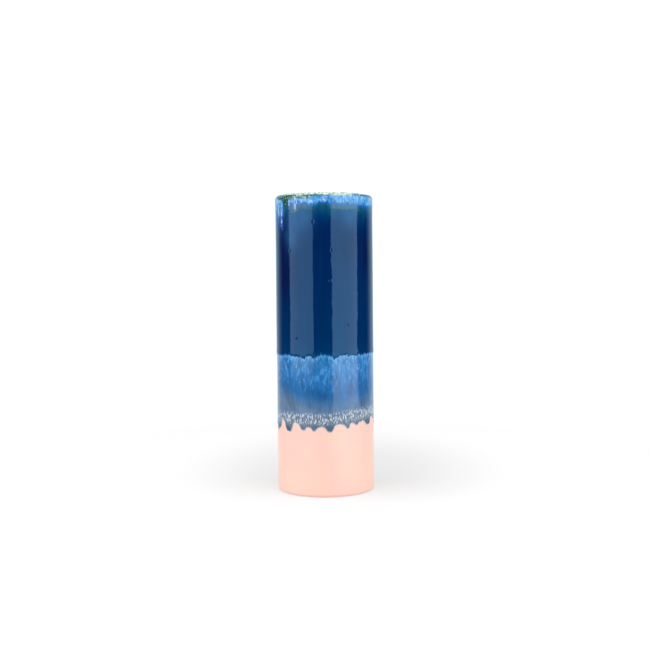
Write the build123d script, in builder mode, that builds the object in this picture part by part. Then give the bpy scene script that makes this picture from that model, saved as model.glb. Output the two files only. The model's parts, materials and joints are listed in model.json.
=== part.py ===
"""Straight-sided ceramic bud vase: a stoneware tube with a floor, and the glaze coats that were laid over it
one by one. Every coat is its own closed solid and touches the next one face to face. Millimetres, +Z up,
origin at the centre of the foot, with the side that is looked at facing -Y."""

from build123d import *

import os
from math import cos, isclose, radians, sin
from random import Random

# Driving dimensions
HEIGHT = 150.0
OUTER_DIAMETER = 49.8
MOUTH_DIAMETER = 41.0

# Thickness of each coat
PINK_COAT = 0.35
BLUE_COAT = 0.15
NAVY_COAT = 0.15
INSIDE_COAT = 0.4

# Radii from the outside in
NAVY_RADIUS = OUTER_DIAMETER / 2
BLUE_RADIUS = NAVY_RADIUS - NAVY_COAT
PINK_RADIUS = BLUE_RADIUS - BLUE_COAT
CLAY_RADIUS = PINK_RADIUS - PINK_COAT
MOUTH_RADIUS = MOUTH_DIAMETER / 2
CLAY_BORE_RADIUS = MOUTH_RADIUS + INSIDE_COAT

# The lip is a half round, both in the clay and in the glaze over it
LIP_RADIUS = (NAVY_RADIUS - MOUTH_RADIUS) / 2
LIP_MIDDLE = (NAVY_RADIUS + MOUTH_RADIUS) / 2
LIP_SPRING = HEIGHT - LIP_RADIUS
CLAY_LIP_RADIUS = (CLAY_RADIUS - CLAY_BORE_RADIUS) / 2
CLAY_LIP_MIDDLE = (CLAY_RADIUS + CLAY_BORE_RADIUS) / 2

# Foot and floor
FOOT_ROUND = 1.5
FOOT_GLAZE_END = 45.0  # degrees round the foot's edge, where the pink glaze was wiped off
FOOT_RING_INNER_RADIUS = 17.5
FOOT_RECESS = 1.2
FOOT_RING_INNER_ROUND = 0.5
FLOOR_TOP = 5.0
FLOOR_ROUND = 3.5  # in the clay, between the floor and the wall
TURNING_GROOVE_DEPTH = 0.25
TURNING_GROOVE_RADII = (5.0, 9.0, 13.0)

# Heights at which the coats start and stop
DRIP_ROOT = 38.0
NAVY_LOW = 68.5
RIM_GLAZE_LOW = 143.5
UNDER_RIM_GLAZE = 147.0  # the pink and blue coats stop here, under the rim glaze
INSIDE_TOP = 145.0

# Drips at the blue coat's lower edge that face the front: degrees round from the front, tip height, width
FRONT_DRIPS = (
    (-73, 31.0, 3.2),
    (-48, 31.8, 4.0),
    (-28, 32.9, 4.4),
    (-13.5, 32.5, 4.6),
    (5, 32.2, 5.0),
    (28, 33.3, 3.6),
    (40.5, 34.4, 3.2),
    (60.5, 33.4, 3.0),
    (79, 35.4, 2.8),
)
# The remaining drips face away from the front, and their places and sizes are drawn by chance
BACK_DRIP_COUNT = 10
BACK_DRIP_ARC = (90, 272)  # degrees round from the front
BACK_DRIP_SHIFT = 4.0  # degrees to either side of an even spacing
BACK_DRIP_TIPS = (32.2, 35.0)
BACK_DRIP_WIDTHS = (3.1, 4.9)
FRONT = 270  # degrees from +X to the side that faces -Y
LONGEST_DRIP = 10.0
LARGEST_FLARE = 1.8  # radius of the round corner where a drip leaves the coat's edge
FLARE_SHARE = 0.8  # the most of a drip's straight sides that its round corners take up
DRIP_OVERLAP = 1.0  # how far a drip runs up into the coat
STENCIL_INSET = 1.0  # a drip's stencil starts this far inside the clay's surface
STENCIL_DEPTH = 3.0


def back_drips():
    """The angle, tip height and width of each drip that faces away from the front."""
    chance = Random(5)
    start, end = BACK_DRIP_ARC
    for number in range(BACK_DRIP_COUNT):
        even_angle = start + (end - start) * number / (BACK_DRIP_COUNT - 1)
        angle = even_angle + chance.uniform(-BACK_DRIP_SHIFT, BACK_DRIP_SHIFT)
        yield angle, chance.uniform(*BACK_DRIP_TIPS), chance.uniform(*BACK_DRIP_WIDTHS)


def sleeve(inner_radius, outer_radius, low, high):
    """The half section of a plain coat on the wall, drawn in the sketch that is open."""
    with Locations(((inner_radius + outer_radius) / 2, (low + high) / 2)):
        Rectangle(outer_radius - inner_radius, high - low)


# Clay body: wall, half-round lip, floor, and a foot ring round a turned recess
with BuildPart() as clay_body:
    with BuildSketch(Plane.XZ):
        with BuildLine():
            foot_edge = CLAY_RADIUS - FOOT_ROUND
            Line((0, FOOT_RECESS), (FOOT_RING_INNER_RADIUS, FOOT_RECESS))
            Line((FOOT_RING_INNER_RADIUS, FOOT_RECESS), (FOOT_RING_INNER_RADIUS, 0))
            Line((FOOT_RING_INNER_RADIUS, 0), (foot_edge, 0))
            CenterArc((foot_edge, FOOT_ROUND), FOOT_ROUND, 270, 90)
            Line((CLAY_RADIUS, FOOT_ROUND), (CLAY_RADIUS, LIP_SPRING))
            CenterArc((CLAY_LIP_MIDDLE, LIP_SPRING), CLAY_LIP_RADIUS, 0, 180)
            Line((CLAY_BORE_RADIUS, LIP_SPRING), (CLAY_BORE_RADIUS, FLOOR_TOP + FLOOR_ROUND))
            CenterArc((CLAY_BORE_RADIUS - FLOOR_ROUND, FLOOR_TOP + FLOOR_ROUND), FLOOR_ROUND, 270, 90)
            Line((CLAY_BORE_RADIUS - FLOOR_ROUND, FLOOR_TOP), (0, FLOOR_TOP))
            Line((0, FLOOR_TOP), (0, FOOT_RECESS))
        make_face()
    revolve(axis=Axis.Z)
    ring_edges = (
        clay_body.edges()
        .filter_by(GeomType.CIRCLE)
        .filter_by(lambda edge: isclose(edge.radius, FOOT_RING_INNER_RADIUS))
    )
    fillet(ring_edges, FOOT_RING_INNER_ROUND)
    # Shallow rings that the turning tool left in the recess
    with BuildSketch(Plane.XZ):
        for groove_radius in TURNING_GROOVE_RADII:
            with Locations((groove_radius, FOOT_RECESS)):
                Circle(TURNING_GROOVE_DEPTH)
    revolve(axis=Axis.Z, mode=Mode.SUBTRACT)

# Inside glaze: lines the bore and the floor
with BuildPart() as inside_glaze:
    with BuildSketch(Plane.XZ):
        with BuildLine():
            glaze_floor = FLOOR_TOP + INSIDE_COAT
            corner_radius = CLAY_BORE_RADIUS - FLOOR_ROUND
            corner_height = FLOOR_TOP + FLOOR_ROUND
            Line((0, FLOOR_TOP), (corner_radius, FLOOR_TOP))
            CenterArc((corner_radius, corner_height), FLOOR_ROUND, 270, 90)
            Line((CLAY_BORE_RADIUS, corner_height), (CLAY_BORE_RADIUS, INSIDE_TOP))
            Line((CLAY_BORE_RADIUS, INSIDE_TOP), (MOUTH_RADIUS, INSIDE_TOP))
            Line((MOUTH_RADIUS, INSIDE_TOP), (MOUTH_RADIUS, corner_height))
            CenterArc((corner_radius, corner_height), FLOOR_ROUND - INSIDE_COAT, 270, 90)
            Line((corner_radius, glaze_floor), (0, glaze_floor))
            Line((0, glaze_floor), (0, FLOOR_TOP))
        make_face()
    revolve(axis=Axis.Z)

# Pink glaze: the first coat on the outside, from the foot's rounded edge up to the lip
with BuildPart() as pink_glaze:
    with BuildSketch(Plane.XZ):
        with BuildLine():
            turn = radians(FOOT_GLAZE_END)
            outer_turn = FOOT_ROUND + PINK_COAT
            inner_end = (foot_edge + FOOT_ROUND * cos(turn), FOOT_ROUND - FOOT_ROUND * sin(turn))
            outer_end = (foot_edge + outer_turn * cos(turn), FOOT_ROUND - outer_turn * sin(turn))
            Line(inner_end, outer_end)
            CenterArc((foot_edge, FOOT_ROUND), outer_turn, -FOOT_GLAZE_END, FOOT_GLAZE_END)
            Line((PINK_RADIUS, FOOT_ROUND), (PINK_RADIUS, UNDER_RIM_GLAZE))
            Line((PINK_RADIUS, UNDER_RIM_GLAZE), (CLAY_RADIUS, UNDER_RIM_GLAZE))
            Line((CLAY_RADIUS, UNDER_RIM_GLAZE), (CLAY_RADIUS, FOOT_ROUND))
            CenterArc((foot_edge, FOOT_ROUND), FOOT_ROUND, -FOOT_GLAZE_END, FOOT_GLAZE_END)
        make_face()
    revolve(axis=Axis.Z)

# Drip stencils: one radial block per drip, with a round tip and a flared root
with BuildPart() as drip_stencils:
    for degrees_round, tip, width in (*FRONT_DRIPS, *back_drips()):
        heading = radians(FRONT + degrees_round)
        outward = Vector(cos(heading), sin(heading), 0)
        face_plane = Plane(
            origin=outward * (CLAY_RADIUS - STENCIL_INSET) + Vector(0, 0, tip),
            x_dir=Vector(-outward.Y, outward.X, 0),
            z_dir=outward,
        )
        half = width / 2
        length = DRIP_ROOT - tip
        flare = min(LARGEST_FLARE, FLARE_SHARE * (length - half))
        with BuildSketch(face_plane):
            with BuildLine():
                CenterArc((0, half), half, 180, 180)
                Line((half, half), (half, length - flare))
                CenterArc((half + flare, length - flare), flare, 90, 90)
                Line((half + flare, length), (half + flare, length + DRIP_OVERLAP))
                Line((half + flare, length + DRIP_OVERLAP), (-half - flare, length + DRIP_OVERLAP))
                Line((-half - flare, length + DRIP_OVERLAP), (-half - flare, length))
                CenterArc((-half - flare, length - flare), flare, 0, 90)
                Line((-half, length - flare), (-half, half))
            make_face()
        extrude(amount=STENCIL_DEPTH)

# Blue glaze: the second coat, dipped from the top, which ran down in drips over the pink
with BuildPart() as drips:
    with BuildSketch(Plane.XZ):
        sleeve(PINK_RADIUS, BLUE_RADIUS, DRIP_ROOT - LONGEST_DRIP, DRIP_ROOT + DRIP_OVERLAP)
    revolve(axis=Axis.Z)
    add(drip_stencils.part, mode=Mode.INTERSECT)

with BuildPart() as blue_glaze:
    with BuildSketch(Plane.XZ):
        sleeve(PINK_RADIUS, BLUE_RADIUS, DRIP_ROOT, UNDER_RIM_GLAZE)
    revolve(axis=Axis.Z)
    add(drips.part)

# Navy glaze: the third coat, over the upper part of the blue
with BuildPart() as navy_glaze:
    with BuildSketch(Plane.XZ):
        sleeve(BLUE_RADIUS, NAVY_RADIUS, NAVY_LOW, RIM_GLAZE_LOW)
    revolve(axis=Axis.Z)

# Rim glaze: covers the lip, from the navy coat's upper edge over the crown to the inside glaze
with BuildPart() as rim_glaze:
    with BuildSketch(Plane.XZ):
        with BuildLine():
            Line((BLUE_RADIUS, RIM_GLAZE_LOW), (NAVY_RADIUS, RIM_GLAZE_LOW))
            Line((NAVY_RADIUS, RIM_GLAZE_LOW), (NAVY_RADIUS, LIP_SPRING))
            CenterArc((LIP_MIDDLE, LIP_SPRING), LIP_RADIUS, 0, 180)
            Line((MOUTH_RADIUS, LIP_SPRING), (MOUTH_RADIUS, INSIDE_TOP))
            Line((MOUTH_RADIUS, INSIDE_TOP), (CLAY_BORE_RADIUS, INSIDE_TOP))
            Line((CLAY_BORE_RADIUS, INSIDE_TOP), (CLAY_BORE_RADIUS, LIP_SPRING))
            CenterArc((CLAY_LIP_MIDDLE, LIP_SPRING), CLAY_LIP_RADIUS, 0, 180)
            Line((CLAY_RADIUS, LIP_SPRING), (CLAY_RADIUS, UNDER_RIM_GLAZE))
            Line((CLAY_RADIUS, UNDER_RIM_GLAZE), (BLUE_RADIUS, UNDER_RIM_GLAZE))
            Line((BLUE_RADIUS, UNDER_RIM_GLAZE), (BLUE_RADIUS, RIM_GLAZE_LOW))
        make_face()
    revolve(axis=Axis.Z)

os.makedirs("parts", exist_ok=True)
PIECES = {
    "clay_body": clay_body,
    "inside_glaze": inside_glaze,
    "pink_glaze": pink_glaze,
    "blue_glaze": blue_glaze,
    "navy_glaze": navy_glaze,
    "rim_glaze": rim_glaze,
}
for name, piece in PIECES.items():
    piece.part.label = name
    export_step(piece.part, f"parts/{name}.step")
    print(f"{name}: {piece.part.volume / 1000:.2f} cm3")
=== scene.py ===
"""A straight ceramic bud vase with run glazes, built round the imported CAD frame, on a pale studio floor.

Lengths are millimetres unless a name says otherwise, and MM turns them into Blender's metres. Angles round
the vase are degrees from the front (-Y), positive towards +X."""

import json
import math
import random

import bpy
import numpy as np
from mathutils import Matrix, Vector


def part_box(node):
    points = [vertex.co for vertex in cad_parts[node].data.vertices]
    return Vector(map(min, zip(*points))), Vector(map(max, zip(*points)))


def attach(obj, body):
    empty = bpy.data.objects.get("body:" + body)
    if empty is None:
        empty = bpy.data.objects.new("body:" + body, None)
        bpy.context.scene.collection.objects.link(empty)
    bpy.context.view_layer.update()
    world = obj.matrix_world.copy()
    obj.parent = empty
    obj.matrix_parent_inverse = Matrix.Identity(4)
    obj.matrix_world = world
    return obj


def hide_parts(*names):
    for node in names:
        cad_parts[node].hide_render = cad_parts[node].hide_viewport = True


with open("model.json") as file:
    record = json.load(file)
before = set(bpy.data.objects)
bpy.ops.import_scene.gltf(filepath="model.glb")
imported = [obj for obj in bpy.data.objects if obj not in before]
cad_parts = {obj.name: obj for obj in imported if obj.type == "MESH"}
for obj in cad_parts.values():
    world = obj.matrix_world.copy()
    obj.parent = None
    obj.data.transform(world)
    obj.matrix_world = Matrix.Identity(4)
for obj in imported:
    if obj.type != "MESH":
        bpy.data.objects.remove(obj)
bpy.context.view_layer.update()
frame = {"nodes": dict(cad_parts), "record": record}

MM = 0.001
FULL_TURN = 360


# ---------------------------------------------------------------- sizes, read from the frame
def lowest(node):
    """A CAD node's lowest corner."""
    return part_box(node)[0] / MM


def highest(node):
    """A CAD node's highest corner."""
    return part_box(node)[1] / MM


MOUNTS = {mount["name"]: mount for mount in frame["record"]["mounts"]}
MOUTH_RADIUS = MOUNTS["mouth"]["dims"]["r_mm"]
CLAY_RADIUS = highest("clay_body").x
PINK_RADIUS = highest("pink_glaze").x
BLUE_RADIUS = highest("blue_glaze").x
NAVY_RADIUS = highest("navy_glaze").x
BORE_RADIUS = highest("inside_glaze").x
HEIGHT = highest("rim_glaze").z
PINK_LOW = lowest("pink_glaze").z
PINK_TOP = highest("pink_glaze").z
CLAY_FLOOR = lowest("inside_glaze").z
INSIDE_TOP = highest("inside_glaze").z
LIP_RADIUS = (NAVY_RADIUS - MOUTH_RADIUS) / 2
LIP_MIDDLE = (NAVY_RADIUS + MOUTH_RADIUS) / 2
LIP_SPRING = HEIGHT - LIP_RADIUS

# ---------------------------------------------------------------- how the glazes ran
# Each edge is a list of (degrees, height) points, given in front. Below, seeded chance carries it
# round behind.
# The blue coat's lower edge: one or two points at the tip of each drip and at the top of each arch
FRONT_DRIP_EDGE = (
    (-74, 31.2), (-66, 32.6), (-60, 36.7), (-49.5, 31.8), (-46, 31.5), (-37, 36.4), (-34.5, 35.7),
    (-28, 32.9), (-25.5, 32.8), (-20.5, 34.5), (-13.5, 32.6), (-6, 34.6), (-3.5, 34.7), (3.2, 32.3),
    (6.3, 32.1), (12.8, 35.5), (16, 35.9), (20.5, 35.4), (25.8, 33.4), (31.8, 36.1), (38, 34.8),
    (43.5, 36.1), (48.5, 36.5), (55.5, 34.3), (60, 34.1), (68, 37.5), (79, 35.9),
)
# The navy coat's lower edge: froth rises into it in lobes, and it hangs in points between them
FRONT_NAVY_EDGE = (
    (-75, 68.9), (-60, 68.8), (-48, 69.3), (-39, 68.9), (-31, 68.7), (-25.5, 68.0), (-19, 69.3),
    (-12, 68.2), (-6, 69.5), (-1, 69.7), (5, 69.3), (11.5, 67.9), (17, 69.3), (23, 69.7), (29, 69.1),
    (33, 69.5), (38, 69.0), (43, 69.4), (48, 69.0), (54, 69.5), (60, 69.2), (68, 69.6), (75, 69.3),
)
# Where the blue glaze thins and turns grey
FRONT_POOL_EDGE = (
    (-75, 55.0), (-60, 54.0), (-45, 53.2), (-30, 51.2), (-15, 49.2), (0, 48.3), (20, 48.0),
    (33, 50.5), (45, 50.0), (60, 51.0), (75, 51.5),
)
# The rim's froth is thick above the first line and gone below the second, where a few long runs reach down
FRONT_FROTH_FULL = (
    (-76, 147.0), (-70, 148.0), (-62, 147.0), (-56, 148.0), (-52.5, 152.0), (-49, 156.0), (-44, 151.0),
    (-36, 148.6), (-30, 147.6), (-24, 146.6), (-14, 145.4), (-2, 146.6), (8, 146.6), (20, 146.4),
    (34, 146.2), (46, 145.8), (60, 145.4), (75, 145.8),
)
FRONT_FROTH_END = (
    (-76, 134.0), (-70, 130.5), (-64, 129.5), (-55.5, 130.0), (-52.5, 138.0), (-50.5, 145.5), (-49, 144.0),
    (-44, 141.0), (-38, 140.5), (-31, 142.0), (-25, 142.8), (-14, 142.2), (-2, 143.4), (8, 142.8),
    (20, 142.4), (34, 142.6), (46, 141.8), (60, 141.2), (75, 141.6),
)
# Dark green shows through the froth above this line
FRONT_GREEN_LINE = (
    (-76, 148.4), (-70, 148.0), (-64, 147.4), (-58, 146.8), (-49, 143.2), (-44.5, 146.2), (-42, 147.2),
    (-36, 147.6), (-28, 147.2), (-20, 147.0), (-12, 148.0), (-2, 148.3), (12, 148.5), (24, 149.0),
    (36, 148.7), (50, 148.5), (62, 148.3), (75, 148.1),
)
# The crown of the lip breaks to cream above this line all round; at the front, from about -8 to 32 degrees,
# the line is set lower so that the cream there is a painted highlight on the crown
FRONT_CREAM_AND_HIGHLIGHT_LINE = (
    (-76, 149.8), (-46, 149.1), (-30, 148.9), (-8, 148.9), (4, 148.7), (14, 148.4), (24, 148.4), (32, 148.8),
    (44, 149.4), (75, 149.7),
)
# Narrow white runs through the froth: degrees, lowest height, half width in degrees
FRONT_WHITE_RUNS = (
    (-72, 141.0, 1.2), (-65, 138.0, 1.0), (-57.5, 131.5, 1.1), (-43.5, 141.5, 0.6), (-34.6, 140.0, 1.2),
    (-27, 146.0, 1.6), (14, 146.5, 1.6), (34, 146.5, 1.6),
)
# Pinholes in the navy coat: degrees, height, radius
FRONT_PINHOLES = (
    (-34.1, 77.6, 0.6), (27.6, 84.0, 0.85), (-12.5, 135.5, 0.6), (8.1, 121.5, 0.4), (-43.2, 121.5, 0.5),
    (5.6, 106.5, 0.35),
)
# Darker violet clouds in the navy coat: degrees, height, radius
FRONT_CLOUDS = ((-56, 110.0, 9.5), (-53, 122.0, 6.0), (30, 124.0, 6.0), (62, 118.0, 6.0))
# Lighter blue hazes below the froth: degrees, height, radius
FRONT_HAZES = ((-40.5, 129.0, 4.5), (-36, 136.0, 6.0), (-25, 138.5, 5.0), (31, 139.0, 4.0))


ANGLE_CHANCE = 0.25  # how far a turning strays sideways, as a share of the gap to the next
HEIGHT_CHANCE = 0.3  # how far it strays up and down, as a share of the edge's depth
BACK_ARC = (85, 275)


def carried_round(front, step, low, high, seed):
    """Continues front points behind the vase, low and high by turns, about a step apart."""
    chance = random.Random(seed)
    points = list(front)
    start = front[-1][0]
    gap = FULL_TURN + front[0][0] - start
    count = 2 * round(gap / step / 2) - 1
    for number in range(1, count + 1):
        middle = low if number % 2 == 0 else high
        angle = start + gap * (number + chance.uniform(-ANGLE_CHANCE, ANGLE_CHANCE)) / (count + 1)
        points.append((angle, middle + chance.uniform(-1, 1) * abs(high - low) * HEIGHT_CHANCE))
    return points


def ease(share):
    """A share of 0 to 1, slowed near both ends."""
    return share * share * (3 - 2 * share)


def edge_height(points, angles):
    """A smooth edge through the points, flat near each of them and steep between, all the way round."""
    laps = [(angle + FULL_TURN * lap, height) for lap in (-1, 0, 1) for angle, height in sorted(points)]
    known_angles, known_heights = np.array(laps, float).T
    after = np.clip(np.searchsorted(known_angles, angles), 1, len(laps) - 1)
    share = (angles - known_angles[after - 1]) / (known_angles[after] - known_angles[after - 1])
    eased = ease(ease(share))
    return known_heights[after - 1] * (1 - eased) + known_heights[after] * eased


def smoothed(heights, width_degrees):
    """The same edge with its drips averaged away over a width."""
    reach = max(1, round(len(heights) * width_degrees / FULL_TURN / 2))
    padded = np.concatenate([heights[-reach:], heights, heights[:reach]])
    kernel = np.hanning(2 * reach + 3)[1:-1]
    return np.convolve(padded, kernel / kernel.sum(), mode="valid")


def ripples(angles, waves):
    """A sum of waves round the vase, given as (size, waves in a full turn, start)."""
    turn = np.radians(angles)
    return sum(size * np.sin(count * turn + start) for size, count, start in waves)


DRIP_EDGE = carried_round(FRONT_DRIP_EDGE, step=9, low=33.4, high=37.6, seed=4)
NAVY_EDGE = carried_round(FRONT_NAVY_EDGE, step=6, low=68.8, high=70.0, seed=9)
POOL_EDGE = carried_round(FRONT_POOL_EDGE, step=18, low=49.0, high=54.0, seed=12)
FROTH_FULL = carried_round(FRONT_FROTH_FULL, step=11, low=145.6, high=147.6, seed=15)
FROTH_END = carried_round(FRONT_FROTH_END, step=11, low=139.0, high=143.2, seed=16)
GREEN_LINE = carried_round(FRONT_GREEN_LINE, step=12, low=147.5, high=148.8, seed=17)
CREAM_AND_HIGHLIGHT_LINE = carried_round(FRONT_CREAM_AND_HIGHLIGHT_LINE, step=16, low=149.0, high=149.6, seed=18)


def scattered(front, count, heights, sizes, seed):
    """Adds seeded marks behind the vase to the listed front ones, each an angle, a height and a size."""
    chance = random.Random(seed)
    behind = [
        (chance.uniform(*BACK_ARC), chance.uniform(*heights), chance.uniform(*sizes)) for _ in range(count)
    ]
    return list(front) + behind


WHITE_RUNS = scattered(FRONT_WHITE_RUNS, count=9, heights=(134, 145), sizes=(0.8, 1.6), seed=21)
PINHOLES = scattered(FRONT_PINHOLES, count=14, heights=(74, 138), sizes=(0.3, 0.6), seed=22)
CLOUDS = scattered(FRONT_CLOUDS, count=7, heights=(100, 128), sizes=(6, 9), seed=23)
HAZES = scattered(FRONT_HAZES, count=6, heights=(120, 136), sizes=(4, 6), seed=24)


def turned_from(angles, middle):
    """Angles measured from a middle one, from -180 to 180 degrees."""
    return (angles - middle + FULL_TURN / 2) % FULL_TURN - FULL_TURN / 2


def away_from(spot, angles, heights, stretch=1.0):
    """How many radii each point on the wall lies from a spot, given as its angle, height and radius."""
    angle, height, radius = spot
    across = np.radians(turned_from(angles, angle)) * NAVY_RADIUS
    return np.hypot(across, (heights - height) / stretch) / radius


def bell(distance, width=1.0):
    """A soft bump: 1 at no distance, fading to 0 over about twice the width."""
    return np.exp(-((distance / width) ** 2))


def soft_spots(spots, angles, heights):
    """1 at the middle of each soft-edged, taller than wide spot, fading to 0 round it."""
    return np.max([bell(away_from(spot, angles, heights, stretch=1.5)) for spot in spots], axis=0)


def hand_wobble(angles, heights):
    """How far a hand-shaped wall stands off a true cylinder."""
    turn = np.radians(angles)
    return (
        0.06 * np.sin(2 * turn + 0.9 + heights / 55)
        + 0.045 * np.sin(3 * turn - 1.1 + heights / 31)
        + 0.015 * np.sin(7 * turn + heights / 17)
        + 0.018 * np.sin(heights / 9 + 2 * np.sin(turn))
    )


def rise(distance, width):
    """A rounded edge: 0 at the edge and 1 from width inwards, steep at first as a bead of glaze is."""
    share = np.clip(distance / width, 0, 1)
    return np.sqrt(1 - (1 - share) ** 2)


# ---------------------------------------------------------------- mesh building
def column_angles(columns):
    """Evenly spaced angles round the vase, with the seam at the back."""
    return np.arange(columns) * FULL_TURN / columns - FULL_TURN / 2


def shares(rows):
    """A column of evenly spaced shares from 0 to 1."""
    return np.linspace(0, 1, rows)[:, None]


def round_points(radii, heights, angles):
    """Points in metres from tables of radius and height, with a row per height and a column per angle."""
    turn = np.radians(angles)[None, :]
    return np.stack([radii * np.sin(turn), -radii * np.cos(turn), heights + 0 * turn], axis=-1) * MM


def to_rows(table, rows):
    """Repeats a table's last row, so that it covers a coat's hidden back rows too."""
    return np.concatenate([table, np.repeat(table[-1:], rows - len(table), axis=0)])


def grid_piece(name, points, closed, attributes=None):
    """A mesh of quads from rows of points round the axis. Closed joins the last row to the first. Otherwise
    the first and the last row each close on a point on the axis."""
    rows, columns = points.shape[:2]
    vertices = points.reshape(-1, 3)
    index = np.arange(rows * columns).reshape(rows, columns)
    lower = index if closed else index[:-1]
    upper = np.roll(index, -1, axis=0) if closed else index[1:]
    corners = [lower, np.roll(lower, -1, axis=1), np.roll(upper, -1, axis=1), upper]
    faces = np.stack(corners, axis=-1).reshape(-1, 4).tolist()
    if not closed:
        first, last = len(vertices), len(vertices) + 1
        middles = np.array([points[0].mean(axis=0), points[-1].mean(axis=0)])
        vertices = np.concatenate([vertices, middles])
        following = np.roll(np.arange(columns), -1)
        faces += [(first, index[0][after], index[0][here]) for here, after in enumerate(following)]
        faces += [(last, index[-1][here], index[-1][after]) for here, after in enumerate(following)]
    mesh = bpy.data.meshes.new(name)
    mesh.from_pydata(vertices.tolist(), [], faces)
    for key, table in (attributes or {}).items():
        values = to_rows(table, rows).reshape(-1).astype(np.float32)
        mesh.attributes.new(key, "FLOAT", "POINT").data.foreach_set("value", values)
    mesh.shade_smooth()
    mesh.update()
    piece = bpy.data.objects.new(name, mesh)
    bpy.context.scene.collection.objects.link(piece)
    return piece


def stand_for(piece, node, material):
    """The piece takes the place of a CAD node: it takes the material and hangs under the root, and the node
    is hidden.
    """
    piece.data.materials.append(material)
    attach(piece, "root")
    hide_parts(node)


def add_coat(node, material, radii, heights, angles, attributes=None):
    """A glaze coat as one closed loop of rows, in the place of its CAD node."""
    points = round_points(radii, heights, angles)
    stand_for(grid_piece(node + "_coat", points, closed=True, attributes=attributes), node, material)


def rows_between(low, high, spacing):
    """A column of shares from 0 to 1 for rows about spacing apart between two heights."""
    return shares(max(2, round((high - low) / spacing) + 1))


def distance_to_edge(angles, edge, heights, reach):
    """How far each grid point lies along the wall from the edge's line, up to reach."""
    step = math.radians(FULL_TURN / len(angles)) * NAVY_RADIUS
    steps = int(reach / step) + 1
    distance = np.full(heights.shape, float(reach))
    for shift in range(-steps, steps + 1):
        across = shift * step
        distance = np.minimum(distance, np.hypot(across, heights - np.roll(edge, -shift)[None, :]))
    return distance


def loop_with_back(radii, heights, back_radius):
    """Closes a coat's face with hidden rows at a plain radius, from its top edge down to its bottom edge."""
    back_heights = heights[:1] + (heights[-1:] - heights[:1]) * shares(10)[::-1]
    back_radii = np.full(back_heights.shape, float(back_radius))
    return np.concatenate([radii, back_radii]), np.concatenate([heights, back_heights])


def corner(radius, height, size, turns):
    """A rounded corner about a middle, for turns in radians up from straight outwards."""
    return radius + size * np.cos(turns), height + size * np.sin(turns)


def wall_at(radius, heights):
    """A straight wall at one radius, through the given heights."""
    return np.full(len(heights), float(radius)), heights


def floor_at(height, radii):
    """A flat floor at one height, through the given radii."""
    return radii, np.full(len(radii), float(height))


def profile(*stretches):
    """Joins corners, walls and floors into one cross-section: a column of radii and a column of heights."""
    return [np.concatenate(part)[:, None] for part in zip(*stretches)]


# ---------------------------------------------------------------- materials
def srgb(red, green, blue):
    """A display colour, 0 to 255 a channel, as the linear colour that shaders take."""
    channels = [channel / 255 for channel in (red, green, blue)]
    linear = [c / 12.92 if c <= 0.04045 else ((c + 0.055) / 1.055) ** 2.4 for c in channels]
    return (*linear, 1.0)


class Tree:
    """A node tree, and the methods that a material and the world share. Each adds a node."""

    def __init__(self, owner):
        owner.use_nodes = True
        self.nodes = owner.node_tree.nodes
        self.links = owner.node_tree.links

    def feed(self, socket, source):
        """Links a socket to another one, or sets its value."""
        if isinstance(source, bpy.types.NodeSocket):
            self.links.new(source, socket)
        else:
            socket.default_value = source

    def between(self, source, low, high, out_low=0.0, out_high=1.0):
        """Goes smoothly from out_low to out_high as the source goes from low to high."""
        node = self.nodes.new("ShaderNodeMapRange")
        node.interpolation_type = "SMOOTHSTEP"
        if low > high:
            low, high, out_low, out_high = high, low, out_high, out_low
        self.feed(node.inputs["Value"], source)
        node.inputs["From Min"].default_value = low
        node.inputs["From Max"].default_value = high
        node.inputs["To Min"].default_value = out_low
        node.inputs["To Max"].default_value = out_high
        return node.outputs["Result"]


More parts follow.
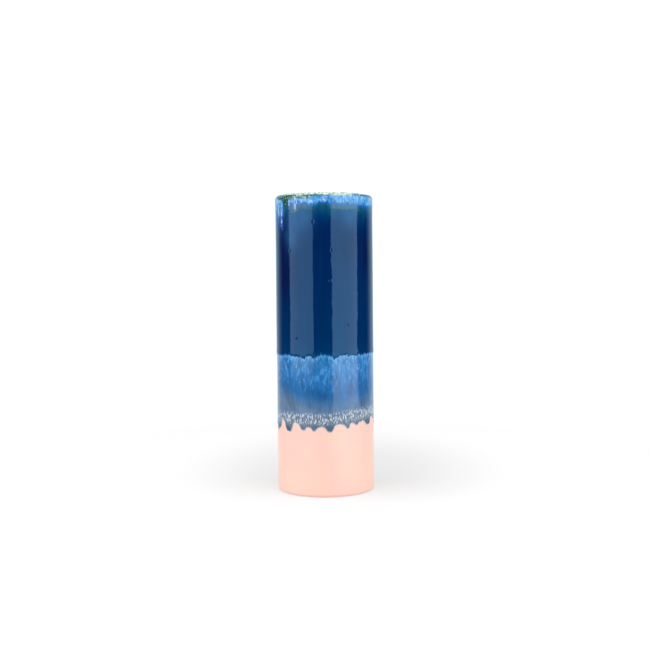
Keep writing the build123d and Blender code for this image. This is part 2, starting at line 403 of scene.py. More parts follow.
class Graph(Tree):
    """A material, and short methods that each add nodes to it. Sizes are millimetres on the vase."""

    def __init__(self, name):
        self.material = bpy.data.materials.new(name)
        super().__init__(self.material)
        self.shader = self.nodes["Principled BSDF"]
        self.place = self.nodes.new("ShaderNodeTexCoord").outputs["Object"]

    def set(self, name, source):
        """Feeds one of the shader's inputs."""
        self.feed(self.shader.inputs[name], source)

    def attribute(self, name):
        node = self.nodes.new("ShaderNodeAttribute")
        node.attribute_name = name
        return node.outputs["Fac"]

    def height(self):
        """Height above the foot."""
        node = self.nodes.new("ShaderNodeSeparateXYZ")
        self.links.new(self.place, node.inputs[0])
        return self.maths("MULTIPLY", node.outputs["Z"], 1 / MM)

    def maths(self, operation, first, second=0.0):
        node = self.nodes.new("ShaderNodeMath")
        node.operation = operation
        self.feed(node.inputs[0], first)
        self.feed(node.inputs[1], second)
        return node.outputs[0]

    def swing(self, source, reach):
        """A noise of 0 to 1 as a shift of -reach to +reach."""
        return self.maths("MULTIPLY", self.maths("SUBTRACT", source, 0.5), 2 * reach)

    def stretched(self, size, stretch, seed):
        """The place on the vase in units of size, or of size times stretch up and down."""
        node = self.nodes.new("ShaderNodeMapping")
        self.links.new(self.place, node.inputs["Vector"])
        node.inputs["Scale"].default_value = (1 / size / MM, 1 / size / MM, 1 / size / stretch / MM)
        node.inputs["Location"].default_value = (3.7 * seed, 1.9 * seed, 5.3 * seed)
        return node.outputs["Vector"]

    def noise(self, size, stretch=1.0, seed=0, detail=3.0, rough=0.55):
        node = self.nodes.new("ShaderNodeTexNoise")
        self.links.new(self.stretched(size, stretch, seed), node.inputs["Vector"])
        node.inputs["Scale"].default_value = 1.0
        node.inputs["Detail"].default_value = detail
        node.inputs["Roughness"].default_value = rough
        return node.outputs[0]

    def cells(self, size, stretch=1.0, seed=0):
        """Distance to the nearest cell's middle, and a random value for each cell."""
        node = self.nodes.new("ShaderNodeTexVoronoi")
        self.links.new(self.stretched(size, stretch, seed), node.inputs["Vector"])
        node.inputs["Scale"].default_value = 1.0
        split = self.nodes.new("ShaderNodeSeparateColor")
        self.links.new(node.outputs["Color"], split.inputs[0])
        return node.outputs["Distance"], split.outputs[0]

    def flecks(self, size, stretch, radius, share, seed):
        """1 in scattered flecks of a radius in cells, in a share of all cells, and 0 elsewhere."""
        distance, chance = self.cells(size, stretch, seed)
        inside = self.between(distance, radius * 1.3, radius * 0.6)
        return self.maths("MULTIPLY", inside, self.between(chance, share + 0.02, share - 0.02))

    def ramp(self, source, *stops):
        """A colour for the source's value, from stops of a value and a display colour."""
        low, high = stops[0][0], stops[-1][0]
        scaled = self.nodes.new("ShaderNodeMapRange")
        self.feed(scaled.inputs["Value"], source)
        scaled.inputs["From Min"].default_value = low
        scaled.inputs["From Max"].default_value = high
        node = self.nodes.new("ShaderNodeValToRGB")
        self.links.new(scaled.outputs["Result"], node.inputs[0])
        elements = node.color_ramp.elements
        elements[0].color = srgb(*stops[0][1])
        elements[1].color = srgb(*stops[-1][1])
        for value, colour in stops[1:-1]:
            elements.new((value - low) / (high - low)).color = srgb(*colour)
        return node.outputs["Color"]

    def mix(self, share, first, second, kind="MIX"):
        node = self.nodes.new("ShaderNodeMix")
        node.data_type = "RGBA"
        node.blend_type = kind
        self.feed(node.inputs[0], share)
        self.feed(node.inputs[6], first)
        self.feed(node.inputs[7], second)
        return node.outputs[2]

    def tone(self, source, depth, colour):
        """Darkens and lightens a colour by a noise of 0 to 1, by up to depth."""
        grey = self.nodes.new("ShaderNodeCombineColor")
        level = self.between(source, 0.25, 0.75, 1 - depth, 1 + depth)
        for channel in grey.inputs:
            self.links.new(level, channel)
        return self.mix(1.0, colour, grey.outputs[0], "MULTIPLY")

    def bump(self, height, depth):
        """Fine relief on the shader's normal, depth deep for a height of 0 to 1."""
        node = self.nodes.new("ShaderNodeBump")
        node.inputs["Distance"].default_value = depth * MM
        self.links.new(height, node.inputs["Height"])
        self.links.new(node.outputs["Normal"], self.shader.inputs["Normal"])


GLAZE_IOR = 1.55
# What each glaze's reflections are tinted by
NAVY_TINT = (0.27, 0.63, 1.0, 1.0)
RIM_TINT = (0.72, 0.92, 1.0, 1.0)
BLUE_TINT = (0.75, 0.8, 0.8, 1.0)


def navy_body(graph):
    """Navy glaze: green-blue under the rim's froth, deepest below that, and lighter near its lower edge."""
    below_rim = graph.attribute("below_rim")
    wandering = graph.maths("ADD", below_rim, graph.swing(graph.noise(4, stretch=2, seed=5, detail=3), 4))
    colour = graph.ramp(
        wandering,
        (0, (30, 98, 126)), (1.5, (20, 84, 112)), (3, (9, 70, 108)), (5.5, (1, 53, 103)), (9, (0, 41, 93)),
        (14, (1, 34, 86)), (25, (1, 37, 88)), (40, (1, 40, 90)), (55, (0, 43, 92)), (66, (0, 44, 93)),
        (72, (0, 50, 98)), (76, (0, 58, 106)),
    )
    return graph.tone(graph.noise(1.6, stretch=16, seed=2, detail=3), 0.1, colour)


def navy_material():
    graph = Graph("navy_glaze_glossy")
    violet, light_blue = srgb(10, 20, 68), srgb(36, 82, 134)
    colour = graph.mix(graph.maths("MULTIPLY", graph.attribute("cloud"), 0.85), navy_body(graph), violet)
    colour = graph.mix(graph.maths("MULTIPLY", graph.attribute("haze"), 0.8), colour, light_blue)
    # The lower edge breaks up into upright teeth of the blue below
    teeth = graph.noise(0.5, stretch=3.5, seed=9, detail=3, rough=0.65)
    inwards = graph.maths("ADD", graph.attribute("edge"), graph.swing(teeth, 3.2))
    colour = graph.mix(graph.between(inwards, 0.5, -0.2, 0, 0.75), colour, srgb(60, 138, 198))
    # Painted shade: the middle of each pinhole is darkened almost to black
    graph.set("Base Color", graph.mix(graph.attribute("pit"), colour, srgb(0, 14, 36)))
    graph.set("Roughness", 0.05)
    graph.set("IOR", GLAZE_IOR)
    graph.set("Specular Tint", NAVY_TINT)
    graph.bump(graph.noise(3.6, stretch=1.6, seed=8, detail=2), 0.05)
    return graph.material


def blue_material():
    graph = Graph("blue_glaze_streaked")
    below_navy = graph.attribute("below_navy")
    above_pool = graph.attribute("above_pool")
    above_drip = graph.attribute("above_drip")
    edge = graph.attribute("edge")
    streak = graph.noise(1.0, stretch=9, seed=1, detail=4, rough=0.62)
    cloud = graph.noise(5, stretch=1.5, seed=4, detail=3)
    curd = graph.noise(1.2, stretch=2.8, seed=7, detail=4, rough=0.7)

    # From streaked azure down to grey where the coat thins
    sagging = graph.maths("ADD", above_pool, graph.swing(cloud, 2.4))
    sagging = graph.maths("ADD", sagging, graph.swing(streak, 1.2))
    colour = graph.ramp(
        sagging,
        (-7, (92, 120, 152)), (-5, (80, 114, 154)), (-3, (68, 110, 156)), (-1.6, (58, 106, 154)),
        (-0.4, (44, 100, 154)), (1, (34, 97, 157)), (3, (32, 100, 162)), (5, (34, 105, 168)),
        (8, (38, 111, 176)), (14, (44, 118, 184)), (20, (48, 124, 184)),
    )
    colour = graph.tone(cloud, 0.2, graph.tone(streak, 0.16, colour))
    curdled = graph.between(below_navy, 19, 6, 0.1, 1)
    light_curd = graph.maths("MULTIPLY", curdled, graph.between(curd, 0.5, 0.66, 0, 0.8))
    dark_curd = graph.maths("MULTIPLY", curdled, graph.between(curd, 0.47, 0.33, 0, 0.85))
    colour = graph.mix(light_curd, colour, srgb(96, 168, 226))
    colour = graph.mix(dark_curd, colour, srgb(14, 90, 150))

    # Bright froth in upright teeth along the navy coat's edge
    teeth = graph.noise(0.75, stretch=4, seed=3, detail=3)
    reach = graph.maths("ADD", below_navy, graph.swing(teeth, 5.0))
    colour = graph.mix(graph.between(reach, 1.6, -0.2, 0, 0.75), colour, srgb(92, 170, 230))

    # A grey ground above the drips, full of pale upright flecks, and darker drips
    wander = graph.maths("ADD", above_drip, graph.swing(streak, 1.2))
    ground = graph.tone(curd, 0.25, graph.ramp(cloud, (0.35, (94, 120, 136)), (0.65, (106, 120, 148))))
    colour = graph.mix(graph.between(wander, 8.0, 4.8), colour, ground)
    slate = graph.ramp(above_drip, (-3, (20, 54, 80)), (-0.8, (48, 78, 100)), (2.5, (96, 114, 136)))
    colour = graph.mix(graph.between(wander, 3.0, 0.6), colour, graph.tone(curd, 0.2, slate))
    small = graph.flecks(0.58, 3.0, 0.41, 0.92, seed=6)
    large = graph.flecks(0.9, 2.6, 0.35, 0.75, seed=16)
    fleck = graph.maths("MAXIMUM", small, large)
    band = graph.maths("MULTIPLY", graph.between(wander, 1.3, 3.5, 0.1, 1), graph.between(wander, 8.3, 6.1))
    fleck = graph.maths("MULTIPLY", fleck, band)
    fleck_colour = graph.ramp(curd, (0.35, (186, 198, 216)), (0.6, (230, 234, 244)))
    colour = graph.mix(graph.maths("MULTIPLY", fleck, 0.82), colour, fleck_colour)

    # The very edge is thin, and turns lilac over the pink
    colour = graph.mix(graph.between(edge, 0.85, 0.2, 0, 0.92), colour, srgb(212, 206, 220))
    graph.set("Base Color", colour)
    graph.set("Roughness", graph.between(above_drip, 14, 6, 0.1, 0.27))
    graph.set("IOR", GLAZE_IOR)
    graph.set("Specular Tint", BLUE_TINT)
    graph.set("Sheen Weight", 0.35)
    graph.set("Sheen Roughness", 0.35)
    graph.bump(graph.maths("ADD", fleck, graph.maths("MULTIPLY", curd, 0.6)), 0.05)
    return graph.material


def rim_material():
    graph = Graph("rim_glaze_frothy")
    cover = graph.attribute("cover")
    white_run = graph.attribute("white_run")
    froth = graph.noise(1.0, stretch=1.8, seed=11, detail=4, rough=0.66)
    streak = graph.noise(0.6, stretch=7, seed=12, detail=3)
    broad = graph.noise(3.5, stretch=1.5, seed=13, detail=2)

    body = navy_body(graph)
    shade = graph.maths("ADD", graph.maths("MULTIPLY", froth, 0.6), graph.maths("MULTIPLY", broad, 0.4))
    pale = graph.ramp(
        shade,
        (0.34, (30, 116, 186)), (0.45, (66, 150, 218)), (0.54, (112, 180, 240)), (0.64, (196, 218, 248)),
    )
    amount = graph.maths("ADD", cover, graph.swing(froth, 0.5))
    amount = graph.maths("ADD", amount, graph.swing(streak, 0.45))
    veil = graph.mix(graph.between(amount, 0.05, 0.5, 0, 0.85), body, srgb(8, 98, 184))
    colour = graph.mix(graph.between(amount, 0.4, 1.0), veil, pale)
    specks = graph.between(graph.noise(0.8, stretch=2.4, seed=14, detail=3, rough=0.6), 0.44, 0.56)
    colour = graph.mix(graph.maths("MULTIPLY", specks, white_run), colour, srgb(214, 224, 246))

    # Dark green shows where the froth drew back, and the crown of the lip breaks pale: a cream break all
    # round, which at the front is a painted highlight
    above_green = graph.maths("ADD", graph.attribute("above_green"), graph.swing(froth, 1.6))
    above_green = graph.maths("ADD", above_green, graph.swing(streak, 1.2))
    break_up = graph.noise(1.3, seed=17, detail=3, rough=0.65)
    green = graph.ramp(
        break_up,
        (0.42, (8, 50, 46)), (0.51, (30, 78, 58)), (0.58, (98, 138, 108)), (0.67, (212, 224, 200)),
    )
    colour = graph.mix(graph.between(above_green, -0.3, 0.5, 0, 0.9), colour, green)
    cream_and_highlight = graph.ramp(break_up, (0.34, (104, 134, 120)), (0.46, (170, 188, 176)), (0.6, (216, 222, 210)))
    above_cream = graph.maths("ADD", graph.attribute("above_cream"), graph.swing(froth, 0.8))
    colour = graph.mix(graph.between(above_cream, -0.1, 0.3), colour, cream_and_highlight)
    graph.set("Base Color", colour)
    graph.set("Roughness", 0.07)
    graph.set("IOR", GLAZE_IOR)
    graph.set("Specular Tint", RIM_TINT)
    graph.bump(froth, 0.05)
    return graph.material


def pink_material():
    graph = Graph("pink_glaze_smooth")
    mottle = graph.noise(9, stretch=1.6, seed=21, detail=2)
    grain = graph.noise(0.6, seed=23, detail=3)
    colour = graph.ramp(mottle, (0.35, (246, 199, 187)), (0.65, (248, 203, 185)))
    colour = graph.mix(graph.between(grain, 0.55, 0.75, 0, 0.25), colour, srgb(250, 208, 196))
    # Painted shade: the pink turns darker and more orange over the lowest 2.4 mm, where the foot's rounded
    # edge turns under
    colour = graph.mix(graph.between(graph.height(), 2.4, 0.4, 0, 0.5), colour, srgb(242, 186, 176))
    graph.set("Base Color", colour)
    graph.set("Roughness", 0.38)
    graph.bump(graph.noise(2.6, seed=25, detail=3), 0.03)
    return graph.material


def inside_material():
    graph = Graph("inside_glaze_milky")
    height = graph.height()
    runs = graph.noise(1.6, stretch=12, seed=31, detail=4)
    cloud = graph.noise(7, stretch=2, seed=33, detail=3)
    colour = graph.ramp(cloud, (0.35, (176, 204, 212)), (0.5, (202, 220, 220)), (0.68, (226, 234, 226)))
    reach = graph.maths("ADD", height, graph.swing(runs, 30))
    colour = graph.mix(graph.between(reach, 128, 146), colour, srgb(62, 132, 190))
    colour = graph.mix(graph.between(height, 16, 5), colour, srgb(120, 172, 190))
    graph.set("Base Color", colour)
    graph.set("Roughness", 0.1)
    graph.bump(graph.noise(3, seed=35, detail=2), 0.04)
    return graph.material


def clay_material():
    graph = Graph("stoneware_bare")
    grit = graph.noise(0.35, seed=41, detail=4, rough=0.7)
    colour = graph.ramp(graph.noise(6, seed=43, detail=2), (0.3, (214, 202, 184)), (0.7, (228, 218, 202)))
    speck = graph.flecks(0.9, 1.0, 0.2, 0.16, seed=45)
    colour = graph.mix(graph.maths("MULTIPLY", speck, 0.8), colour, srgb(128, 104, 82))
    graph.set("Base Color", colour)
    graph.set("Roughness", 0.82)
    graph.bump(grit, 0.12)
    return graph.material


# ---------------------------------------------------------------- the pieces
FINE_COLUMNS = 560
SMOOTH_COLUMNS = 320
CORNER_ROWS = 14
FOOT_ROUND = 1.5
FLOOR_ROUND = 3.5
# The small teeth on every lower edge, as waves of (size, number in a full turn, start)
FINE_TEETH = ((0.12, 61, 0.4), (0.1, 83, 2.1), (0.08, 118, 4.0), (0.05, 157, 1.2))
# Each coat's edge: the width over which it rises, how far its edge row sinks into the coat below, and how
# large its teeth are as a share of FINE_TEETH
BLUE_RISE, NAVY_RISE, RIM_RISE = 0.7, 1.1, 0.3
BLUE_SUNK, NAVY_SUNK, RIM_SUNK = 0.05, 0.04, 0.05
BLUE_TEETH, NAVY_TEETH = 0.6, 1.6
# How far the blue coat's fine rows reach up under the navy one
TUCK = 1.5
# Drips: how far their tips are rounded and the flecks' line averaged, in degrees, and the bead in each
DRIP_ROUND = 3
FLECK_LINE = 70
BEAD_DEPTH = 0.28
BEAD_WIDTH = 1.5
BEAD_LENGTH = 4
# Pinholes: depth and raised ring, whose middle and width are in pinhole radii
PIT_DEPTH = 0.16
RING_DEPTH = 0.05
RING_MIDDLE = 1.6
RING_WIDTH = 0.6
# The rim's froth: its thickness, the width over which it thins out, and how far the hidden back lies inside
RIM_COAT = 0.1
FEATHER = 3.0
RIM_BACK = 0.5
LIP_WAVES = ((0.22, 1, 2.7), (0.12, 2, 0.7), (0.06, 5, 0), (0.03, 9, 2))
INSIDE_RUNS = ((1.1, 4, 0.3), (0.9, 9, 1.4), (0.4, 17, 0))


def make_pink_glaze():
    """The first coat, from the foot's rounded edge up under the rim glaze."""
    angles = column_angles(SMOOTH_COLUMNS)
    coat = PINK_RADIUS - CLAY_RADIUS
    middle = CLAY_RADIUS - FOOT_ROUND
    turns = np.radians(np.linspace(-45, 0, CORNER_ROWS))
    radii, heights = profile(
        corner(middle, FOOT_ROUND, FOOT_ROUND + coat, turns),
        wall_at(PINK_RADIUS, np.linspace(FOOT_ROUND, PINK_TOP, 110)[1:]),
    )
    back_radii, back_heights = profile(
        wall_at(CLAY_RADIUS, np.linspace(PINK_TOP, FOOT_ROUND, 9)[:-1]),
        corner(middle, FOOT_ROUND, FOOT_ROUND, turns[::-1]),
    )
    heights = heights + 0 * angles
    radii = radii + hand_wobble(angles, heights) * np.clip(heights / 12, 0, 1)
    heights[0] = PINK_LOW + 0.25 + ripples(angles, ((0.12, 5, 0), (0.08, 11, 1)))
    radii = np.concatenate([radii, back_radii + 0 * angles])
    heights = np.concatenate([heights, back_heights + 0 * angles])
    add_coat("pink_glaze", pink_material(), radii, heights, angles)


def make_blue_glaze():
    """The second coat, which ran down over the pink one and hangs in rounded drips."""
    angles = column_angles(FINE_COLUMNS)
    drips = smoothed(edge_height(DRIP_EDGE, angles), DRIP_ROUND)
    low = drips - 0.25 + BLUE_TEETH * ripples(angles, FINE_TEETH)
    line = smoothed(drips, FLECK_LINE)
    navy_low = edge_height(NAVY_EDGE, angles)
    # Rows lie close together down to the drips, and a few more are hidden under the navy coat
    shown_top = navy_low.max() + TUCK
    shown = low + (shown_top - low) * rows_between(low.mean(), shown_top, 0.33) ** 1.15
    hidden = np.linspace(shown_top, PINK_TOP, 14)[1:, None] + 0 * angles
    heights = np.concatenate([shown, hidden])
    edge = distance_to_edge(angles, low, heights, 4.0)
    hanging = np.clip((line - heights + 1.5) / BEAD_LENGTH, 0, 1)
    bead = BEAD_DEPTH * hanging * rise(edge, BEAD_WIDTH)
    relief = (BLUE_RADIUS - PINK_RADIUS) * rise(edge, BLUE_RISE) + bead
    radii = PINK_RADIUS + relief + hand_wobble(angles, heights)
    radii[0] -= BLUE_SUNK
    attributes = {
        "edge": edge,
        "above_drip": heights - line,
        "above_pool": heights - edge_height(POOL_EDGE, angles),
        "below_navy": navy_low - heights,
    }
    radii, heights = loop_with_back(radii, heights, (CLAY_RADIUS + PINK_RADIUS) / 2)
    add_coat("blue_glaze", blue_material(), radii, heights, angles, attributes)


def below_rim(angles, heights):
    """How far a point lies below the lower end of the rim's froth, with its long runs averaged away."""
    end = np.maximum(edge_height(FROTH_END, angles), 141.5)
    return smoothed(end, 12) + 1.2 - heights


def make_navy_glaze():
    """The third coat, over the blue, with a lobed lower edge and a few pinholes."""
    angles = column_angles(FINE_COLUMNS)
    low = edge_height(NAVY_EDGE, angles) + NAVY_TEETH * ripples(angles, FINE_TEETH)
    top = PINK_TOP + 0.3
    heights = low + (top - low) * rows_between(low.mean(), top, 0.5)
    edge = distance_to_edge(angles, low, heights, 3.0)
    relief = (NAVY_RADIUS - BLUE_RADIUS) * rise(edge, NAVY_RISE) + 0.06 * bell(edge - 1.2, 0.8)
    pit = np.zeros(heights.shape)
    for spot in PINHOLES:
        away = away_from(spot, angles, heights)
        relief += RING_DEPTH * bell(away - RING_MIDDLE, RING_WIDTH) - PIT_DEPTH * bell(away)
        # The middle of each pinhole, which the navy material darkens as painted shade
        pit = np.maximum(pit, bell(away * 1.5))
    radii = BLUE_RADIUS + relief + hand_wobble(angles, heights)
    radii[0] -= NAVY_SUNK
    attributes = {
        "below_rim": below_rim(angles, heights),
        "pit": pit,
        "cloud": soft_spots(CLOUDS, angles, heights),
        "haze": soft_spots(HAZES, angles, heights),
        "edge": edge,
    }
    radii, heights = loop_with_back(radii, heights, PINK_RADIUS)
    add_coat("navy_glaze", navy_material(), radii, heights, angles, attributes)


def white_runs(angles, heights):
    """1 in each narrow white run, fading out at its lower end."""
    share = np.zeros(heights.shape)
    for run_angle, run_low, half_width in WHITE_RUNS:
        across = bell(turned_from(angles, run_angle), half_width)
        share = np.maximum(share, across * np.clip((heights - run_low) / 4, 0, 1))
    return share


def make_rim_glaze():
    """The frothy coat over the lip, which ran down outside and a little way inside."""
    angles = column_angles(FINE_COLUMNS)
    end = edge_height(FROTH_END, angles)
    full = edge_height(FROTH_FULL, angles)

    # Outside, from the thin lower edge up to where the lip starts to turn
    low = end - 1.0 + ripples(angles, FINE_TEETH)
    outside = low + (LIP_SPRING - low) * shares(70) ** 1.2
    edge = distance_to_edge(angles, low, outside, FEATHER)
    feathered = 0.25 * rise(edge, RIM_RISE) + 0.75 * ease(edge / FEATHER)
    wobble = hand_wobble(angles, outside)
    outside_radii = NAVY_RADIUS + RIM_COAT * feathered + wobble
    outside_radii[0] -= RIM_SUNK

    # Over the lip, where the coat and the wall's wobble fade out towards the bore
    turns = np.radians(180 * shares(30)[1:])
    fading = (RIM_COAT + wobble[-1:]) * (1 + np.cos(turns)) / 2
    lip_radii = LIP_MIDDLE + LIP_RADIUS * np.cos(turns) + fading
    lip = LIP_SPRING + (LIP_RADIUS + ripples(angles, LIP_WAVES)) * np.sin(turns)

    # Down the bore, to short runs
    inside_low = INSIDE_TOP - 3 + ripples(angles, INSIDE_RUNS)
    inside = LIP_SPRING + (inside_low - LIP_SPRING) * shares(20)[1:]
    inside_radii = MOUTH_RADIUS - RIM_COAT * rise(inside - inside_low, 0.8)
    inside_radii[-1] = MOUTH_RADIUS + RIM_SUNK

    # The hidden back, inside the wall: up from the runs, back over the lip and down to the outer edge
    back_turns = np.radians(180 * shares(12)[::-1])
    back_lip_radii = LIP_MIDDLE + (LIP_RADIUS - RIM_BACK) * np.cos(back_turns) + 0 * angles
    back_lip = LIP_SPRING + (LIP_RADIUS - RIM_BACK - 0.1) * np.sin(back_turns) + 0 * angles
    back_inside = inside_low + (LIP_SPRING - inside_low) * shares(5)[:-1]
    back_outside = LIP_SPRING + (low - LIP_SPRING) * shares(6)[1:]

    radii = np.concatenate([
        outside_radii,
        lip_radii,
        inside_radii,
        np.full(back_inside.shape, MOUTH_RADIUS + RIM_BACK),
        back_lip_radii,
        np.full(back_outside.shape, NAVY_RADIUS - RIM_BACK),
    ])
    heights = np.concatenate([outside, lip, inside, back_inside, back_lip, back_outside])
    shown = np.concatenate([outside, np.maximum(lip, LIP_SPRING), inside])
    cover = np.clip((shown - end) / (full - end), 0, 1)
    cover[-len(inside):] = np.clip((inside - inside_low) / 2, 0, 1)
    attributes = {
        "below_rim": np.maximum(below_rim(angles, shown), 0),
        "cover": cover,
        # At the front the cream line is set low, so the cream there is a painted highlight on the crown
        "above_green": shown - edge_height(GREEN_LINE, angles),
        "above_cream": shown - edge_height(CREAM_AND_HIGHLIGHT_LINE, angles),
        "white_run": white_runs(angles, shown),
    }
    add_coat("rim_glaze", rim_material(), radii, heights, angles, attributes)


def make_inside_glaze():
    """The lining: a thin cup from the middle of the floor up the bore."""
    angles = column_angles(SMOOTH_COLUMNS)
    turn = np.radians(angles)
    coat = BORE_RADIUS - MOUTH_RADIUS
    floor = CLAY_FLOOR + coat
    middle = (BORE_RADIUS - FLOOR_ROUND, CLAY_FLOOR + FLOOR_ROUND)
    turns = np.radians(np.linspace(-90, 0, CORNER_ROWS))
    floor_radii = np.linspace(0.4, BORE_RADIUS - FLOOR_ROUND, 12)[:-1]
    radii, heights = profile(
        floor_at(floor, floor_radii),
        corner(*middle, FLOOR_ROUND - coat, turns),
        wall_at(MOUTH_RADIUS, np.linspace(CLAY_FLOOR + FLOOR_ROUND, INSIDE_TOP + 1.5, 90)[1:]),
    )
    back_radii, back_heights = profile(
        wall_at(BORE_RADIUS, np.linspace(INSIDE_TOP + 1.4, CLAY_FLOOR + FLOOR_ROUND, 11)[:-1]),
        corner(*middle, FLOOR_ROUND, turns[::-1]),
        floor_at(CLAY_FLOOR, floor_radii[::-1]),
    )
    # Turning marks: a shallow spiral on the floor, and fine ridges up the bore
    swirl = 0.12 * np.sin(radii / 2.1 + turn) * np.clip(radii / 4, 0, 1) * (heights < floor + 0.01)
    ripple = 0.05 * np.sin(heights / 3.3 + turn) * (heights > 12)
    radii = np.concatenate([radii + ripple, back_radii + 0 * angles])
    heights = np.concatenate([heights + swirl, back_heights + 0 * angles])
    # These rows run the other way round than an outside coat's, so they are reversed to face out of the glaze
    points = round_points(radii, heights, angles)[::-1]
    stand_for(grid_piece("inside_glaze_lining", points, closed=False), "inside_glaze", inside_material())


def dress_clay_body():
    """The CAD clay keeps its shape and takes a bare stoneware finish."""
    clay = frame["nodes"]["clay_body"]
    clay.data.materials.clear()
    clay.data.materials.append(clay_material())


# ---------------------------------------------------------------- studio
CAMERA_DISTANCE = 520
CAMERA_HEIGHT = 110
CAMERA_RIGHT = 0.33
LENS_MM = 55.99
SHIFT_Y = -0.0791
ROLL_DEGREES = -0.55
SOFTBOX_DISTANCE = 600
SOFTBOX_TOP = 1000
TOP_LIGHT_SIZE = 800
TOP_LIGHT_PLACE = (0, -250, 900)
TOP_LIGHT_TILT = -15
FLOOR_RADIUS = 230
SHADOW_MIDDLE = (10, 59, 0)
SHADOW_DEPTH = 1.52  # times its width
SHADOW_CORE = 16.5
SHADOW_REACH = 104
PAPER_GREY = (0.26, 0.26, 0.26, 1)
SHADOW_GLOW = 0.543
PAPER_GLOW = 0.696
FILL_LIGHT = 0.4
ROOM_LIGHT = 0.01
BACKDROP_LIGHT = 0.85
BACKDROP_COLOUR = (0.62, 0.86, 1.0, 1.0)
SEEN_WHITE = 1.05
WHITE = (1, 1, 1, 1)


def add_to_scene(name, data):
    thing = bpy.data.objects.new(name, data)
    bpy.context.scene.collection.objects.link(thing)
    return thing


def make_camera():
    data = bpy.data.cameras.new("camera")
    data.lens = LENS_MM
    data.sensor_width = 36
    data.shift_y = SHIFT_Y
    camera = add_to_scene("camera", data)
    level = Matrix.Rotation(math.radians(90), 4, "X")
    roll = Matrix.Rotation(math.radians(ROLL_DEGREES), 4, "Z")
    place = Vector((CAMERA_RIGHT, -CAMERA_DISTANCE, CAMERA_HEIGHT)) * MM
    camera.matrix_world = Matrix.Translation(place) @ level @ roll
    bpy.context.scene.camera = camera


def add_softbox(name, from_degrees, to_degrees, low, brightness, for_gloss):
    """An upright panel that fills a range of directions. It lights gloss alone or everything but gloss."""
    middle = math.radians((from_degrees + to_degrees) / 2)
    half_span = math.radians(abs(to_degrees - from_degrees) / 2)
    data = bpy.data.lights.new(name, "AREA")
    data.shape = "RECTANGLE"
    data.size = 2 * SOFTBOX_DISTANCE * math.tan(half_span) * MM
    data.size_y = (SOFTBOX_TOP - low) * MM
    data.energy = brightness * math.pi * data.size * data.size_y
    light = add_to_scene(name, data)
    across, away = math.sin(middle) * SOFTBOX_DISTANCE, -math.cos(middle) * SOFTBOX_DISTANCE
    light.location = Vector((across, away, (SOFTBOX_TOP + low) / 2)) * MM
    light.rotation_euler = (math.radians(90), 0, middle)
    light.visible_camera = False
    light.visible_glossy = for_gloss
    light.visible_diffuse = not for_gloss


def add_top_light(brightness):
    """A square panel overhead, which adds no gloss."""
    data = bpy.data.lights.new("top_light", "AREA")
    data.shape = "SQUARE"
    data.size = TOP_LIGHT_SIZE * MM
    data.energy = brightness * math.pi * data.size**2
    light = add_to_scene("top_light", data)
    light.location = Vector(TOP_LIGHT_PLACE) * MM
    light.rotation_euler = (math.radians(TOP_LIGHT_TILT), 0, 0)
    light.visible_camera = False
    light.visible_glossy = False


def make_floor():
    """A disc of overexposed paper: it glows a little, and more away from the middle of the vase's shadow."""
    turns = np.radians(np.arange(0, FULL_TURN, 3))
    ring = np.stack([np.cos(turns), np.sin(turns), 0 * turns], axis=-1) * FLOOR_RADIUS * MM
    mesh = bpy.data.meshes.new("studio_floor")
    mesh.from_pydata(ring.tolist(), [], [range(len(ring))])
    floor = add_to_scene("studio_floor", mesh)
    graph = Graph("studio_paper")
    squeezed = graph.nodes.new("ShaderNodeVectorMath")
    squeezed.operation = "MULTIPLY"
    graph.links.new(graph.place, squeezed.inputs[0])
    squeezed.inputs[1].default_value = (1, 1 / SHADOW_DEPTH, 1)
    away = graph.nodes.new("ShaderNodeVectorMath")
    away.operation = "DISTANCE"
    graph.links.new(squeezed.outputs[0], away.inputs[0])
    across, back, up = SHADOW_MIDDLE
    away.inputs[1].default_value = Vector((across, back / SHADOW_DEPTH, up)) * MM
    graph.set("Base Color", PAPER_GREY)
    graph.set("Roughness", 1.0)
    graph.set("Specular IOR Level", 0.0)
    graph.set("Emission Color", WHITE)
    distance = away.outputs["Value"]
    glow = graph.between(distance, SHADOW_CORE * MM, SHADOW_REACH * MM, SHADOW_GLOW, PAPER_GLOW)
    graph.set("Emission Strength", glow)
    mesh.materials.append(graph.material)


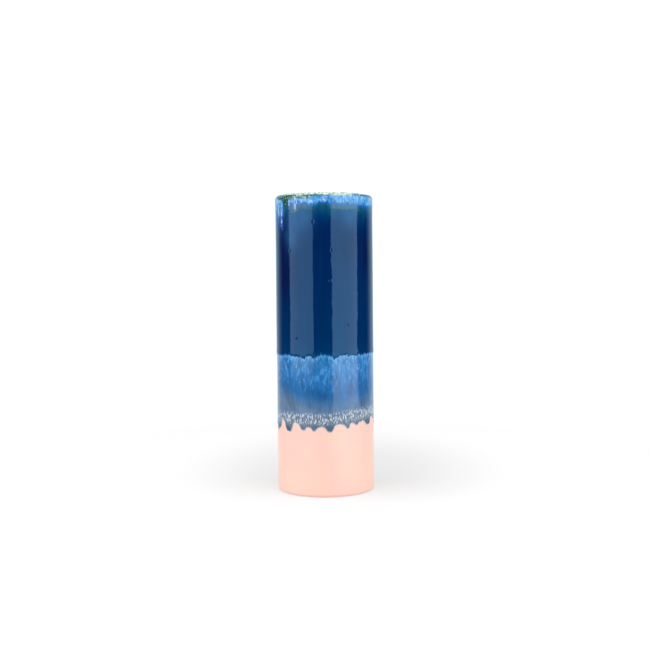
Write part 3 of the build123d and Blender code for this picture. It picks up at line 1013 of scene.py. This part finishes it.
def make_world():
    """White for the camera, an even fill for soft light, and for gloss a pale backdrop behind a dim room. The
    backdrop reaches further forward on the right (+X) than on the left."""
    world = bpy.data.worlds.new("studio")
    bpy.context.scene.world = world
    tree = Tree(world)
    tree.nodes.clear()

    def glow(colour, strength):
        node = tree.nodes.new("ShaderNodeBackground")
        tree.feed(node.inputs["Color"], colour)
        tree.feed(node.inputs["Strength"], strength)
        return node.outputs[0]

    def choose(share, first, second):
        node = tree.nodes.new("ShaderNodeMixShader")
        for socket, source in zip(node.inputs, (share, first, second)):
            tree.feed(socket, source)
        return node.outputs[0]

    path = tree.nodes.new("ShaderNodeLightPath")
    direction = tree.nodes.new("ShaderNodeTexCoord")
    split = tree.nodes.new("ShaderNodeSeparateXYZ")
    tree.feed(split.inputs[0], direction.outputs["Generated"])
    spread = tree.nodes.new("ShaderNodeMix")
    right, away = split.outputs["X"], split.outputs["Y"]
    tree.feed(spread.inputs["Factor"], tree.between(right, -0.3, 0.3))
    tree.feed(spread.inputs["A"], tree.between(away, 0.42, 0.95, ROOM_LIGHT, BACKDROP_LIGHT))
    tree.feed(spread.inputs["B"], tree.between(away, 0.42, 0.82, ROOM_LIGHT, BACKDROP_LIGHT))
    backdrop = glow(BACKDROP_COLOUR, spread.outputs["Result"])
    behind = choose(path.outputs["Is Glossy Ray"], glow(WHITE, FILL_LIGHT), backdrop)
    seen = choose(path.outputs["Is Camera Ray"], behind, glow(WHITE, SEEN_WHITE))
    output = tree.nodes.new("ShaderNodeOutputWorld")
    tree.feed(output.inputs["Surface"], seen)


make_camera()
make_world()
make_floor()
add_softbox("gloss_left", -25.8, -88.5, low=0, brightness=2.0, for_gloss=True)
add_softbox("gloss_right", 17.2, 82.6, low=-60, brightness=2.5, for_gloss=True)
add_softbox("soft_left", -25, -110, low=120, brightness=1.6, for_gloss=False)
add_softbox("soft_right", 20, 105, low=120, brightness=1.6, for_gloss=False)
add_top_light(2.5)
bpy.context.scene.view_settings.view_transform = "Standard"

dress_clay_body()
make_pink_glaze()
make_blue_glaze()
make_navy_glaze()
make_rim_glaze()
make_inside_glaze()
